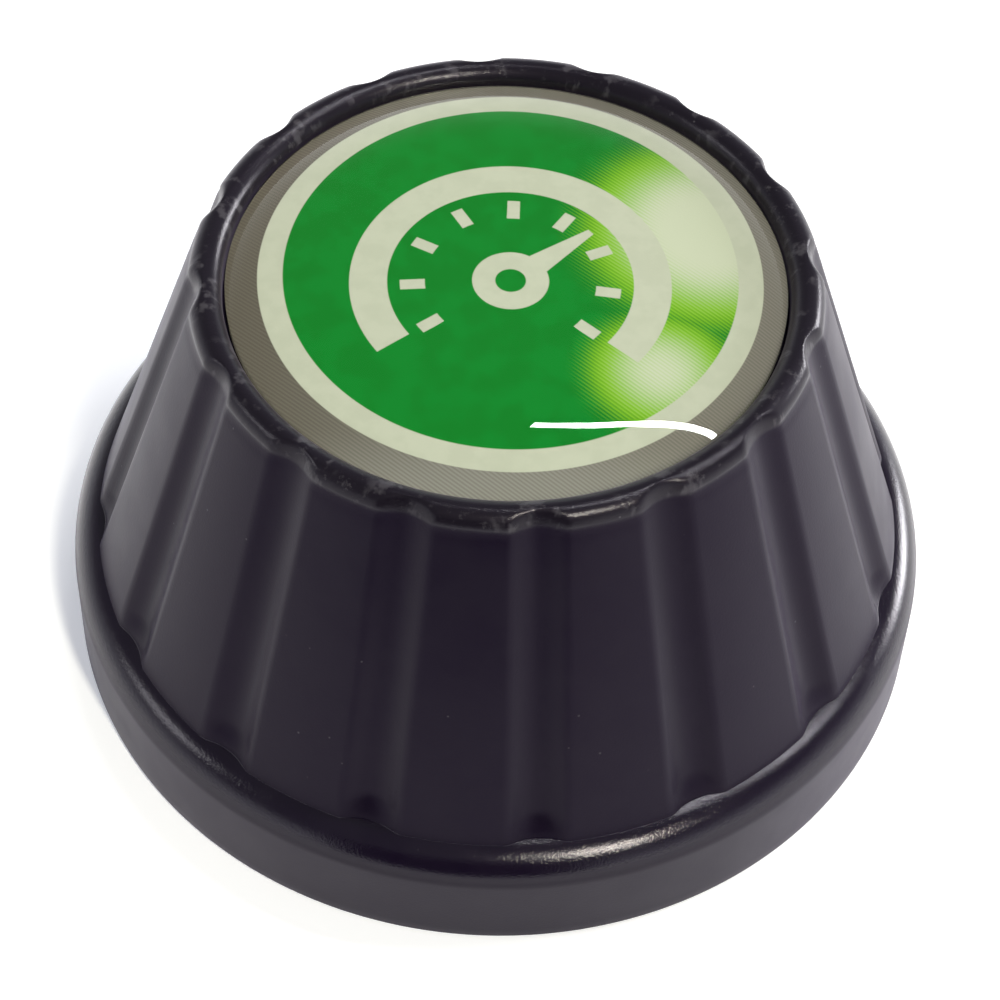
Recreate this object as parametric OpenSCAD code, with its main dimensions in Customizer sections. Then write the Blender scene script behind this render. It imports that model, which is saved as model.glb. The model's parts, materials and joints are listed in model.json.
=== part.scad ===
// Screw-on tyre pressure monitor for a valve stem.
// +Z is up, away from the tyre. The origin is the centre of the resting face.
// All lengths are in millimetres and all angles in degrees.

/* [Flange] */
// Radius of the flange wall at the top of the wall
lip_r = 19.03; // [18.8:0.01:19.3]
// Radius of the flange wall at its bottom edge
base_r = 19.12; // [19.0:0.01:19.3]
// Rounding of the flange's upper corner
lip_round = 1.6; // [1.4:0.05:1.8]
// Bevel of the flange's bottom edge
base_bevel = 0.25; // [0.1:0.05:0.3]

/* [Cone] */
// Radius of the fluted cone at its foot
foot_r = 17.83; // [17.7:0.01:17.9]
// Height of the cone's foot
foot_z = 5.4; // [5.3:0.05:5.5]
// Radius at which the rounded rim bead is centred
bead_r = 12.2; // [12.1:0.05:12.3]
// Height at which the rim bead is centred
bead_z = 19.9; // [19.8:0.05:20.0]
// Rounding of the rim bead
bead_round = 0.75; // [0.7:0.01:0.8]
// Thickness of the cone's wall, square to its surface
wall = 1.55; // [1.4:0.05:1.7]

/* [Flutes] */
// Number of finger flutes around the cone
flute_count = 16; // [12:1:18]
// Width of a flute at the cone's foot
flute_w = 2.2; // [1.8:0.1:2.6]
// Depth of a flute at the cone's foot
flute_foot_depth = 0.5; // [0.4:0.05:0.6]
// Depth of a flute where it crosses the rim
flute_rim_depth = 0.25; // [0.2:0.05:0.35]
// Angle from the X axis to the first flute
flute_phase = 7.1; // [0:0.1:22]

/* [Label] */
// Radius of the recess that holds the label
recess_r = 11.5; // [11.4:0.05:11.5]
// Height of the recess floor
recess_z = 19.35; // [19.2:0.05:19.4]
// Radius of the label and its resin dome
label_r = 11.38; // [11.2:0.01:11.38]
// Thickness of the label's adhesive
adhesive_t = 0.1; // [0.05:0.05:0.15]
// Thickness of the printed foil
foil_t = 0.15; // [0.1:0.05:0.2]
// Height of the resin dome's edge above the foil
dome_edge_h = 0.35; // [0.3:0.05:0.6]
// Height of the resin dome's centre above the foil
dome_h = 1.65; // [1.3:0.05:1.7]

/* [Bayonet] */
// Radius of the bore in the housing that the base cap seals in
bore_r = 16.45; // [16.4:0.01:16.5]
// Turn that frees the base cap
unlock_turn = 60; // [60:1:60]
// Number of bayonet lugs
lug_count = 3; // [3:1:3]
// Angle that one lug spans
lug_span = 44; // [36:1:44]
// Angle that one housing ledge spans
ledge_span = 50; // [46:1:50]
// Height of the ledges' underside
ledge_z = 2.9; // [2.85:0.01:2.95]
// Thickness of a ledge
ledge_t = 1.0; // [0.9:0.05:1.0]

/* [Base cap] */
// Height of the cap's outer face above the resting face
cap_z = 0.35; // [0.3:0.05:0.5]
// Radius of the cap's disc
cap_r = 16.35; // [16.3:0.01:16.35]
// Height of the top of the cap's disc
cap_top_z = 2.75; // [2.7:0.01:2.8]
// Radius of the cap's neck, inside the ledges
neck_r = 15.2; // [15.0:0.05:15.2]
// Radius of the boss around the valve insert
boss_r = 7.2; // [6.9:0.1:7.4]
// Radius at which the circuit board posts stand
post_ring_r = 10.6; // [10.4:0.1:10.7]
// Radius of a circuit board post
post_r = 1.3; // [1.2:0.05:1.4]
// Thickness of the O-ring's cord
oring_d = 1.0; // [0.95:0.01:1.0]

/* [Valve insert] */
// Radius of the brass insert
insert_r = 5.2; // [5.0:0.1:5.4]
// Mean radius of the internal thread, for a .305-32 valve stem
thread_r = 3.6; // [3.5:0.01:3.65]
// Height at which the thread ends
thread_top_z = 4.3; // [4.2:0.05:4.4]
// Radius of the relief above the thread
relief_r = 3.95; // [3.9:0.01:4.0]
// Height of the underside of the insert's roof
roof_z = 7.1; // [7.0:0.05:7.2]
// Height of the insert's top
insert_top_z = 8.1; // [8.0:0.05:8.2]

/* [Electronics] */
// Height of the circuit board's underside
board_z = 10.4; // [10.3:0.05:10.5]
// Thickness of the circuit board
board_t = 1.0; // [0.8:0.1:1.0]
// Radius of the circuit board
board_r = 12.6; // [12.4:0.1:12.8]
// Radius of the coin cell
cell_r = 8.0; // [8:0.1:8]
// Height of the coin cell
cell_h = 3.2; // [3.2:0.1:3.2]
// Height of the coin cell above the circuit board
cell_lift = 0.9; // [0.8:0.05:1]

/* [Hidden] */
$fn = 64;
// overlap that joins two solids of one piece
eps = 0.01;
// how far a cutter runs past the face that it opens
over = 1;

// section of the housing
cone_lean = atan2(foot_r - bead_r - bead_round * 0.98, bead_z - foot_z);
lip_c_r = lip_r - lip_round;
lip_c_z = foot_z - sqrt(pow(lip_round, 2) - pow(foot_r - lip_c_r, 2));
lip_c = [lip_c_r, lip_c_z];
wall_radial = wall / cos(cone_lean);
ceiling_t = 1.3;
ceiling_z = recess_z - ceiling_t;
bore_chamfer = 0.5;

// label, from the recess floor up
foil_z = recess_z + adhesive_t;
dome_z = foil_z + foil_t;
dome_bulge = dome_h - dome_edge_h;
dome_ball_r = (pow(label_r, 2) + pow(dome_bulge, 2)) / (2 * dome_bulge);
foil_r = label_r - 0.02;
adhesive_r = label_r - 0.1;

// flutes
flute_r = (pow(flute_w / 2, 2) + pow(flute_foot_depth, 2)) / (2 * flute_foot_depth);
flute_top_z = bead_z + 2 * bead_round;

// bayonet
bayonet_gap = 0.15;
lug_gap = 0.05;
lug_t = 0.9;
ledge_r = neck_r + bayonet_gap;
ledge_root_r = bore_r + 0.5;
ledge_top_z = ledge_z + ledge_t;
lug_z = ledge_top_z + lug_gap;
lug_top_z = lug_z + lug_t;
lug_out_r = cap_r - 0.05;
lug_root_r = neck_r - 0.5;
stop_w = 3;
stop_gap = 1;

// base cap
groove_z = 1.75;
groove_h = 1.2;
groove_r = cap_r - oring_d;
oring_c_r = groove_r + 0.05 + oring_d / 2;
floor_t = 1.4;
floor_top_z = cap_z + floor_t;
neck_wall = 1.6;
notch_in_r = 10.4;
notch_out_r = 12.8;
notch_span = 18;
notch_depth = 0.9;
boss_top_z = insert_top_z - 0.2;
post_angles = [90, 210, 330];

// valve insert and what it holds
mouth_flare = 1;
mouth_z = cap_z - 0.5;
gas_ring_r = 1.5;
gas_hole_r = 0.35;
seal_r = relief_r - 0.03;
seal_in_r = 2.1;
seal_z = roof_z - 1.7;
pin_r = 0.8;
pin_point = 0.3;
pin_tip_z = thread_top_z + 0.15;
gasket_in_r = 2.0;
gasket_out_r = 2.9;
gasket_top_z = insert_top_z + 0.8;

// circuit board and its components
sensor_w = 7;
sensor_lid_w = 6.2;
sensor_lid_t = 0.3;
sensor_port_x = 0.8;
sensor_port_r = 0.45;
sensor_z = gasket_top_z + sensor_lid_t;
board_top_z = board_z + board_t;
board_hole_r = 0.7;
transmitter = [4, 4, 0.9];
crystal_can = [3.2, 2.5, 0.8];
capacitor = [1.6, 0.8, 0.8];
resistor = [0.8, 1.6, 0.45];
inductor = [1.2, 2, 1.2];

// screws
screw_r = 0.6;
screw_reach = 2.5;
screw_head_r = 1.15;
screw_head_h = 0.7;
screw_slot = [1.5, 0.3, 1];
screw_slot_depth = 0.35;
pilot_r = screw_r + 0.02;

// antenna
antenna_r = 11.2;
antenna_z = board_top_z + 3.2;
antenna_wire_r = 0.35;
antenna_span = 300;
antenna_leg_r = 0.5;

// coin cell, its clip and its contact
cell_z = board_top_z + cell_lift;
cell_top_z = cell_z + cell_h;
cell_rim_r = cell_r - 0.7;
cell_t = 0.3;
can_skirt = 0.5;
cell_face_r = cell_rim_r - cell_t;
clip_t = 0.25;
clip_w = 4;
clip_x = 8.7;
clip_foot = 1.3;
contact_t = 0.2;
contact_base = [8, 3];
contact_stem = [1.2, 3];
pad_r = 5.5;
pad_gap = 0.2;

// Radius of the cone's lands at a height.
function cone_r(z) = foot_r - (z - foot_z) * tan(cone_lean);

// A ring of rectangular section, from one radius to another, that spans part of a circle.
module sector(r0, r1, z0, z1, middle, span) {
    rotate([0, 0, middle - span / 2])
        rotate_extrude(angle = span)
            translate([r0, z0])
                square([r1 - r0, z1 - z0]);
}

// A plain disc between two heights.
module disc(r, z0, z1) {
    translate([0, 0, z0]) cylinder(r = r, h = z1 - z0);
}

// A plain tube between two heights.
module tube(r_out, r_in, z0, z1) {
    difference() {
        disc(r_out, z0, z1);
        disc(r_in, z0 - over, z1 + over);
    }
}

// A box that stands on a height, centred on a point of the plan.
module chip(place, size, z) {
    translate([place.x - size.x / 2, place.y - size.y / 2, z]) cube(size);
}

// What follows is repeated at the circuit board's posts.
module at_posts() {
    for (a = post_angles)
        rotate([0, 0, a]) translate([post_ring_r, 0, 0]) children();
}

// The housing's solid outline: flange wall, rounded lip, cone and rim bead.
module housing_outline() {
    polygon([[0, 0], [base_r - base_bevel, 0], [base_r, base_bevel], [lip_r, lip_c_z], lip_c,
        [foot_r, foot_z], [cone_r(bead_z), bead_z], [0, bead_z]]);
    translate(lip_c) circle(r = lip_round);
    translate([bead_r, bead_z]) circle(r = bead_round);
}

// The housing's cavity: sealing bore, then a wall parallel to the cone.
module housing_cavity() {
    polygon([[0, -over], [bore_r, -over], [bore_r, foot_z - bore_chamfer],
        [cone_r(foot_z) - wall_radial, foot_z], [cone_r(ceiling_z) - wall_radial, ceiling_z],
        [0, ceiling_z]]);
}

// A ledge that holds one lug, with the two stops that end the cap's turn.
module bayonet_ledge(middle) {
    stop_away = lug_span / 2 + stop_gap + stop_w / 2;
    sector(ledge_r, ledge_root_r, ledge_z, ledge_top_z, middle, ledge_span);
    sector(ledge_r, ledge_root_r, ledge_top_z - eps, lug_top_z, middle + stop_away, stop_w);
    sector(ledge_r, ledge_root_r, ledge_z, lug_top_z, middle - unlock_turn - stop_away, stop_w);
}

// One round cutter, laid along the cone so that it is deeper at the foot. It stops at the flange.
module flute_cutter() {
    low_z = foot_z + flute_r * tan(cone_lean);
    low = [cone_r(low_z) + flute_r - flute_foot_depth, low_z];
    high = [cone_r(flute_top_z) + flute_r - flute_rim_depth, flute_top_z];
    translate([low.x, 0, low.y])
        rotate([0, atan2(high.x - low.x, high.y - low.y), 0])
            cylinder(r = flute_r, h = norm(high - low));
}

module housing() {
    color("#26242c")
    difference() {
        union() {
            difference() {
                rotate_extrude() housing_outline();
                rotate_extrude() housing_cavity();
            }
            for (i = [0 : lug_count - 1])
                bayonet_ledge(i * 360 / lug_count);
        }
        disc(recess_r, recess_z, flute_top_z);
        for (i = [0 : flute_count - 1])
            rotate([0, 0, flute_phase + i * 360 / flute_count]) flute_cutter();
    }
}

module label_adhesive() {
    color("#d8d6c8") disc(adhesive_r, recess_z, foil_z);
}

module label_foil() {
    color("#159a4a") disc(foil_r, foil_z, dome_z);
}

module label_dome() {
    color([0.9, 0.95, 0.9, 0.5])
    rotate_extrude()
        intersection() {
            translate([0, dome_z]) square([label_r, dome_h + over]);
            translate([0, dome_z + dome_h - dome_ball_r]) circle(r = dome_ball_r, $fn = 720);
        }
}

module battery_pad() {
    color("#3a3a3e") disc(pad_r, cell_top_z + clip_t + pad_gap, ceiling_z);
}

// The groove around the cap's disc that holds the O-ring.
module oring_groove() {
    difference() {
        disc(cap_r + over, groove_z - groove_h / 2, groove_z + groove_h / 2);
        disc(groove_r, groove_z - groove_h, groove_z + groove_h);
    }
}

// The hollow between the cap's boss and its neck, with the board's posts left standing.
module cap_hollow() {
    difference() {
        disc(neck_r - neck_wall, floor_top_z, lug_top_z + over);
        disc(boss_r, cap_z, board_z);
        at_posts() disc(post_r, cap_z, board_z);
    }
}

module base_cap() {
    color("#2b2a30")
    difference() {
        union() {
            disc(cap_r, cap_z, cap_top_z);
            disc(neck_r, cap_top_z - eps, lug_top_z);
            for (i = [0 : lug_count - 1])
                sector(lug_root_r, lug_out_r, lug_z, lug_top_z, i * 360 / lug_count, lug_span);
        }
        oring_groove();
        cap_hollow();
        // notches for a pin wrench
        for (a = [0, 180])
            sector(notch_in_r, notch_out_r, cap_z - over, cap_z + notch_depth, a, notch_span);
        disc(insert_r, cap_z - over, board_z);
    }
    color("#2b2a30") {
        tube(boss_r, insert_r, lug_top_z - eps, boss_top_z);
        at_posts() tube(post_r, pilot_r, lug_top_z - eps, board_z);
    }
}

module base_o_ring() {
    color("#1c1c1c")
    rotate_extrude()
        translate([oring_c_r, groove_z]) circle(r = oring_d / 2);
}

module valve_insert() {
    color("#c9a24e")
    difference() {
        disc(insert_r, cap_z, insert_top_z);
        disc(thread_r, cap_z - over, roof_z);
        disc(relief_r, thread_top_z, roof_z);
        // lead-in chamfer at the mouth
        translate([0, 0, mouth_z])
            cylinder(r1 = thread_r + mouth_flare, r2 = thread_r, h = mouth_flare);
        // seat for the depressor pin, and the gas passages around it
        disc(pin_r, roof_z - over, insert_top_z + over);
        for (a = [0, 120, 240])
            rotate([0, 0, a]) translate([gas_ring_r, 0, 0])
                disc(gas_hole_r, roof_z - over, insert_top_z + over);
    }
}

module valve_seal() {
    color("#171717") tube(seal_r, seal_in_r, seal_z, roof_z);
}

module core_depressor() {
    color("#d8b768") {
        disc(pin_r, pin_tip_z + pin_point, insert_top_z);
        translate([0, 0, pin_tip_z])
            cylinder(r1 = pin_r - pin_point, r2 = pin_r, h = pin_point + eps);
    }
}

module port_gasket() {
    color("#b8452e") tube(gasket_out_r, gasket_in_r, insert_top_z, gasket_top_z);
}

module sensor_lid() {
    color("#c8c8cc")
    difference() {
        chip([0, 0], [sensor_lid_w, sensor_lid_w, sensor_lid_t], gasket_top_z);
        translate([sensor_port_x, 0, 0]) disc(sensor_port_r, gasket_top_z - over, sensor_z + over);
    }
}

module pressure_sensor() {
    color("#222228") chip([0, 0], [sensor_w, sensor_w, board_z - sensor_z], sensor_z);
}

module circuit_board() {
    color("#1f6b3a")
    difference() {
        disc(board_r, board_z, board_top_z);
        at_posts() disc(board_hole_r, board_z - over, board_top_z + over);
    }
}

module board_screws() {
    color("#c4c6ca")
    at_posts()
        difference() {
            union() {
                disc(screw_r, board_z - screw_reach, board_top_z + eps);
                disc(screw_head_r, board_top_z, board_top_z + screw_head_h);
            }
            for (turn = [0, 90])
                rotate([0, 0, turn])
                    chip([0, 0], screw_slot, board_top_z + screw_head_h - screw_slot_depth);
        }
}

module rf_transmitter() {
    color("#202024") chip([-7, 0], transmitter, board_z - transmitter.z);
}

module crystal() {
    color("#cfcfd2") chip([-7, 4.6], crystal_can, board_z - crystal_can.z);
}

module capacitors() {
    color("#b08a5a")
    for (place = [[7, 4.5], [7, 3], [7, -3], [7, -4.5], [-4.5, -7], [4.5, 7.5]])
        chip(place, capacitor, board_z - capacitor.z);
}

module resistors() {
    color("#1d1d20")
    for (place = [[5.5, -6.5], [3.5, -6.5], [1.5, -7.5], [-2, 7.5], [0, 6.5], [2.2, 7.5]])
        chip(place, resistor, board_z - resistor.z);
}

module inductors() {
    color("#4a4038")
    for (place = [[-7, -4.2], [-9.9, -1.8]])
        chip(place, inductor, board_z - inductor.z);
}

// A wire ring, open at -Y, on two stouter legs.
module antenna_loop() {
    start = -90 + (360 - antenna_span) / 2;
    color("#c47a45") {
        rotate([0, 0, start]) rotate_extrude(angle = antenna_span)
            translate([antenna_r, antenna_z]) circle(r = antenna_wire_r);
        for (a = [start, start + antenna_span])
            rotate([0, 0, a]) translate([antenna_r, 0, 0])
                disc(antenna_leg_r, board_top_z, antenna_z + antenna_leg_r);
    }
}

module battery_can() {
    color("#d3d3d0")
    difference() {
        disc(cell_r, cell_z + can_skirt, cell_top_z);
        disc(cell_rim_r, cell_z, cell_top_z - cell_t);
    }
}

module battery_cap() {
    color("#bdbdb8") disc(cell_face_r, cell_z, cell_top_z - cell_t - 0.05);
}

module battery_seal() {
    color("#5c5c62")
    difference() {
        union() {
            disc(cell_rim_r, cell_z + 0.2, cell_top_z - cell_t);
            disc(cell_r - 0.1, cell_z + 0.3, cell_z + can_skirt);
        }
        disc(cell_face_r, cell_z - over, cell_top_z - cell_t - 0.05);
    }
}

module battery_clip() {
    color("#c9c9c6") {
        chip([0, 0], [2 * clip_x, clip_w, clip_t], cell_top_z);
        for (side = [-1, 1]) {
            chip([side * (clip_x - clip_t / 2), 0],
                [clip_t, clip_w, cell_top_z - board_top_z + eps], board_top_z);
            chip([side * (clip_x + clip_foot / 2 - eps), 0], [clip_foot, clip_w, clip_t], board_top_z);
        }
    }
}

module battery_contact() {
    color("#cfc9a8") {
        chip([0, 0], [contact_base.x, contact_base.y, contact_t], board_top_z);
        chip([0, 0], [contact_stem.x, contact_stem.y, cell_lift], board_top_z);
    }
}

housing();
label_adhesive();
label_foil();
label_dome();
battery_pad();
base_cap();
base_o_ring();
valve_insert();
valve_seal();
core_depressor();
port_gasket();
sensor_lid();
pressure_sensor();
circuit_board();
board_screws();
rf_transmitter();
crystal();
capacitors();
resistors();
inductors();
antenna_loop();
battery_can();
battery_cap();
battery_seal();
battery_clip();
battery_contact();
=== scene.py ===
"""Looks for the tyre pressure monitor: meshes, materials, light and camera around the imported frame.

All lengths in this file are metres, +Z is up and the origin is the centre of the resting face.
"""
import json
import math

import bmesh
import bpy
import numpy as np
from mathutils import Matrix, Vector


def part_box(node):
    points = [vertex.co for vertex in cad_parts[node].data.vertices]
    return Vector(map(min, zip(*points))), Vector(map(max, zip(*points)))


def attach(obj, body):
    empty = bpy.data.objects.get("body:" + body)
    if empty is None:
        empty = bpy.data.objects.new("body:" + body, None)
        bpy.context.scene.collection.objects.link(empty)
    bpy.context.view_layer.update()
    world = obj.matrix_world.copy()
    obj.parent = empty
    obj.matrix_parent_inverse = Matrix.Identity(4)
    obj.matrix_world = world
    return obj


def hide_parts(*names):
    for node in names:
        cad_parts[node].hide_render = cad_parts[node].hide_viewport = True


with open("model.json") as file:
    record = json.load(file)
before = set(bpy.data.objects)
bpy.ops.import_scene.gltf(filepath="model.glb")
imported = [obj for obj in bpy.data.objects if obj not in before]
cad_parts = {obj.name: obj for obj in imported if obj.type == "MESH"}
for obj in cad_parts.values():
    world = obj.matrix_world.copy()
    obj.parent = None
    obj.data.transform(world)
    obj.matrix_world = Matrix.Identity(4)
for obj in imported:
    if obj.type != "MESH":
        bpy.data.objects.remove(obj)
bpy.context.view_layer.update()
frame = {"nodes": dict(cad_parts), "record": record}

MM = 0.001
# points closer than this become one
WELD = 0.0005 * MM
# lengths closer than this are equal
TINY = 0.0001 * MM
# edges that turn by more than this are shaded hard
SHARP_ANGLE = math.radians(32)

# ---------------------------------------------------------------- sizes of the housing
BASE_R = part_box("housing")[1].x
LIP_R = 19.03 * MM
LIP_ROUND = 1.60 * MM
WALL_TOP_Z = 4.75 * MM
BASE_ROUND = 0.25 * MM
FOOT_R = 17.83 * MM
FOOT_Z = 5.40 * MM
BEAD_R = 12.20 * MM
BEAD_Z = 19.90 * MM
BEAD_ROUND = 0.75 * MM
# how far the bead's surface lies inside the CAD's
BEAD_STEP = 0.06 * MM
WALL = 1.64 * MM
RECESS_R = 11.50 * MM
RECESS_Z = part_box("label_adhesive")[0].z
CEILING_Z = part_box("battery_pad")[1].z
BORE_R = 16.45 * MM

# ---------------------------------------------------------------- sizes of the flutes and the bayonet
FLUTES = 16
FLUTE_PHASE = math.radians(7.1)
FLUTE_W = 2.2 * MM
FLUTE_FOOT_DEPTH = 0.50 * MM
FLUTE_RIM_DEPTH = 0.25 * MM
FLUTE_SOFT = 0.36 * MM
COLUMNS_PER_FLUTE = 32
CONE_ROWS = 60
TUCK_ROWS = 4
# the share of its depth that a flute keeps at its foot, and the height over which it loses the rest
RUN_OUT = 0.5
RUN_OUT_H = 1.1 * MM
# above 1, this power draws the cone's rows towards its foot
ROWS_LOWER = 1.6

LUGS = 3
LEDGE_R = 15.35 * MM
LEDGE_Z = 2.90 * MM
LEDGE_TOP_Z = 3.90 * MM
STOP_TOP_Z = 4.85 * MM
LEDGE_SPAN = 50
LUG_SPAN = 44
STOP_SPAN = 3
STOP_TURN = LUG_SPAN / 2 + 2.5
UNLOCK_TURN = 60

# ---------------------------------------------------------------- sizes of the label
# the print sits a little off the foil's middle
PRINT_SHIFT_X = 0.15 * MM
PRINT_SHIFT_Y = 0.30 * MM
INK_SOFT = 0.03 * MM
# how far the resin reaches down into the print, so that no air gap shows
BOND = 0.06 * MM
DOME_EDGE = 0.35 * MM
# the power of the dome's curve: the higher it is, the flatter the middle
DOME_FLATNESS = 4.6
DOME_ROWS = 60

# ---------------------------------------------------------------- sizes of the base cap
CAP_R = 16.35 * MM
CAP_FACE_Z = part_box("base_cap")[0].z
CAP_TOP_Z = 2.75 * MM
GROOVE_R = 15.35 * MM
GROOVE_LOW_Z = 1.15 * MM
GROOVE_HIGH_Z = 2.35 * MM
NECK_R = 15.20 * MM
NECK_IN_R = 13.60 * MM
CAP_FLOOR_Z = 1.75 * MM
BOSS_R = 7.20 * MM
BOSS_TOP_Z = 7.90 * MM
LUG_R = 16.30 * MM
LUG_LOW_Z = 3.95 * MM
NOTCH_IN_R = 10.40 * MM
NOTCH_OUT_R = 12.80 * MM
NOTCH_SPAN = 18
NOTCH_DEPTH = 0.90 * MM
POST_RING_R = 10.60 * MM
POST_R = 1.30 * MM
POST_TOP_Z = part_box("base_cap")[1].z
PILOT_R = 0.62 * MM
PILOT_Z = 7.60 * MM
POST_TURNS = (90, 210, 330)
CAP_COLUMNS = 480

# ---------------------------------------------------------------- sizes of the small parts
INSERT_R = 5.20 * MM
THREAD_R = 3.60 * MM
THREAD_TOP_Z = 4.30 * MM
THREAD_PITCH = 0.794 * MM
THREAD_DEPTH = 0.22 * MM
THREAD_ROWS = 60
MOUTH_R = 4.10 * MM
MOUTH_Z = 0.85 * MM
RELIEF_R = 3.95 * MM
ROOF_Z = 7.10 * MM
PIN_R = 0.80 * MM
GAS_RING_R = 1.50 * MM
GAS_R = 0.35 * MM
GAS_TURNS = (0, 120, 240)
SEAL_HOLE_R = 2.1 * MM
GASKET_HOLE_R = 2.0 * MM

EDGE = 0.05 * MM
SCREW_R = 0.60 * MM
SCREW_HOLE_R = 0.70 * MM
SCREW_HEAD_R = 1.15 * MM
SCREW_TIP_H = 0.30 * MM
# the crown of a screw's head, as shares of its radius and heights below its top
SCREW_CROWN = ((0, 0), (0.45, 0.02 * MM), (0.80, 0.12 * MM), (0.96, 0.30 * MM), (1, 0.48 * MM))
CROSS_LONG = 1.50 * MM
CROSS_WIDE = 0.32 * MM
CROSS_DEPTH = 0.35 * MM
CELL_SHEET = 0.30 * MM
CELL_RIM_R = 7.30 * MM
CELL_SHOULDER = 0.45 * MM

# ---------------------------------------------------------------- mesh helpers


def line(p, q, count):
    """Points from p to q, without q."""
    p, q = np.array(p, float), np.array(q, float)
    return [tuple(p + (q - p) * i / count) for i in range(count)]


def arc(centre, radius, start, end, count):
    """Points on an arc from one angle to another, in degrees, with both ends."""
    angles = np.radians(np.linspace(start, end, count + 1))
    return [(centre[0] + radius * math.cos(a), centre[1] + radius * math.sin(a)) for a in angles]


def weld(mesh):
    """Merges points that lie together and drops the slivers between them."""
    work = bmesh.new()
    work.from_mesh(mesh)
    bmesh.ops.remove_doubles(work, verts=work.verts, dist=WELD)
    bmesh.ops.dissolve_degenerate(work, edges=work.edges, dist=WELD)
    work.to_mesh(mesh)
    work.free()


def shade(mesh):
    """Smooth shading, with hard edges where the surface turns sharply."""
    mesh.shade_smooth()
    mesh.set_sharp_from_angle(angle=SHARP_ANGLE)


def finish_mesh(name, vertices, faces):
    """A shaded object made of these points and faces."""
    mesh = bpy.data.meshes.new(name)
    mesh.from_pydata([tuple(v) for v in vertices], [], faces)
    weld(mesh)
    shade(mesh)
    piece = bpy.data.objects.new(name, mesh)
    bpy.context.scene.collection.objects.link(piece)
    return piece


def revolve(name, profile, columns, warp=None, closed=False):
    """A solid of revolution about Z. warp(points, normals, angles) may move the grid of points.

    An open profile starts and ends on the axis, and a closed one is a ring's section.
    """
    ring = np.array(profile if closed else profile[1:-1], float)
    tangent = np.gradient(ring, axis=0)
    if closed:
        tangent = np.roll(ring, -1, axis=0) - np.roll(ring, 1, axis=0)
    tangent /= np.maximum(np.linalg.norm(tangent, axis=1), 1e-12)[:, None]
    normal = np.stack([-tangent[:, 1], tangent[:, 0]], axis=1)
    angles = 2 * math.pi * np.arange(columns) / columns
    ring_grid = np.repeat(ring[:, None, :], columns, axis=1)
    normal_grid = np.repeat(normal[:, None, :], columns, axis=1)
    if warp:
        ring_grid = warp(ring_grid, normal_grid, angles)
    radius, height = ring_grid[..., 0], ring_grid[..., 1]
    grid = np.stack([radius * np.cos(angles), radius * np.sin(angles), height], axis=-1)
    vertices = list(grid.reshape(-1, 3))
    rows = len(ring)
    faces = []
    for i in range(rows if closed else rows - 1):
        a, b = i * columns, ((i + 1) % rows) * columns
        for j in range(columns):
            k = (j + 1) % columns
            faces.append((a + j, b + j, b + k, a + k))
    if not closed:
        first, last = len(vertices), len(vertices) + 1
        vertices += [(0, 0, profile[0][1]), (0, 0, profile[-1][1])]
        end = (rows - 1) * columns
        for j in range(columns):
            k = (j + 1) % columns
            faces.append((first, j, k))
            faces.append((last, end + k, end + j))
    return finish_mesh(name, vertices, faces)


def rounded(corners, radius, steps=4):
    """A closed outline with rounded corners. A corner may carry its own rounding as a third value."""
    points = []
    for i, (x, z, *own) in enumerate(corners):
        corner = np.array((x, z))
        back = np.array(corners[i - 1][:2]) - corner
        ahead = np.array(corners[(i + 1) % len(corners)][:2]) - corner
        far = min(np.linalg.norm(back), np.linalg.norm(ahead))
        cut = min(own[0] if own else radius, 0.45 * far)
        start = corner + back / np.linalg.norm(back) * cut
        end = corner + ahead / np.linalg.norm(ahead) * cut
        for t in np.linspace(0, 1, steps + 1):
            points.append(tuple((1 - t) ** 2 * start + 2 * t * (1 - t) * corner + t ** 2 * end))
    return points


def combine(piece, tool, operation):
    """Joins tool to piece, or cuts it away, and drops the tool."""
    step = piece.modifiers.new("combine", "BOOLEAN")
    step.operation = operation
    step.solver = "EXACT"
    step.object = tool
    bpy.context.view_layer.update()
    shaped = bpy.data.meshes.new_from_object(piece.evaluated_get(bpy.context.evaluated_depsgraph_get()))
    piece.modifiers.clear()
    piece.data = shaped
    bpy.data.objects.remove(tool)
    weld(shaped)
    shade(shaped)


def drill(piece, place, radius, top_z, low_z, columns):
    """Drills a round hole down through piece."""
    tool = revolve("drill", [(0, top_z), (radius, top_z), (radius, low_z), (0, low_z)], columns)
    tool.location = place
    combine(piece, tool, "DIFFERENCE")


def on_ring(radius, degrees):
    """The point at a radius and a direction about Z, at height 0."""
    a = math.radians(degrees)
    return Vector((radius * math.cos(a), radius * math.sin(a), 0))


def away_from(angles, degrees):
    """How far each angle lies from a direction, in degrees."""
    return np.abs((np.degrees(angles) - degrees + 180) % 360 - 180)


# the CAD node that each made piece stands for
STANDING_FOR = {}


def swap(piece, node, body):
    """piece stands for one CAD node and rides its body."""
    STANDING_FOR[piece.name] = node
    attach(piece, body)
    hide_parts(node)


# ---------------------------------------------------------------- the housing

# the angle between the cone's side and the vertical
LEAN = math.atan2(FOOT_R - BEAD_R - 0.98 * BEAD_ROUND, BEAD_Z - FOOT_Z)


def cone_r(z):
    """Radius of the cone at a height, between the flutes."""
    return FOOT_R - (z - FOOT_Z) * math.tan(LEAN)


LIP_C = (LIP_R - LIP_ROUND, FOOT_Z - math.sqrt(LIP_ROUND ** 2 - (FOOT_R - LIP_R + LIP_ROUND) ** 2))
CONE_TOP = (cone_r(BEAD_Z - 0.35 * MM), BEAD_Z - 0.35 * MM)


def lip_z(radius):
    """Height of the rounded lip, carried on inwards to where the cone rises from it."""
    return LIP_C[1] + np.sqrt(np.maximum(LIP_ROUND ** 2 - (radius - LIP_C[0]) ** 2, 0))


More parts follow.
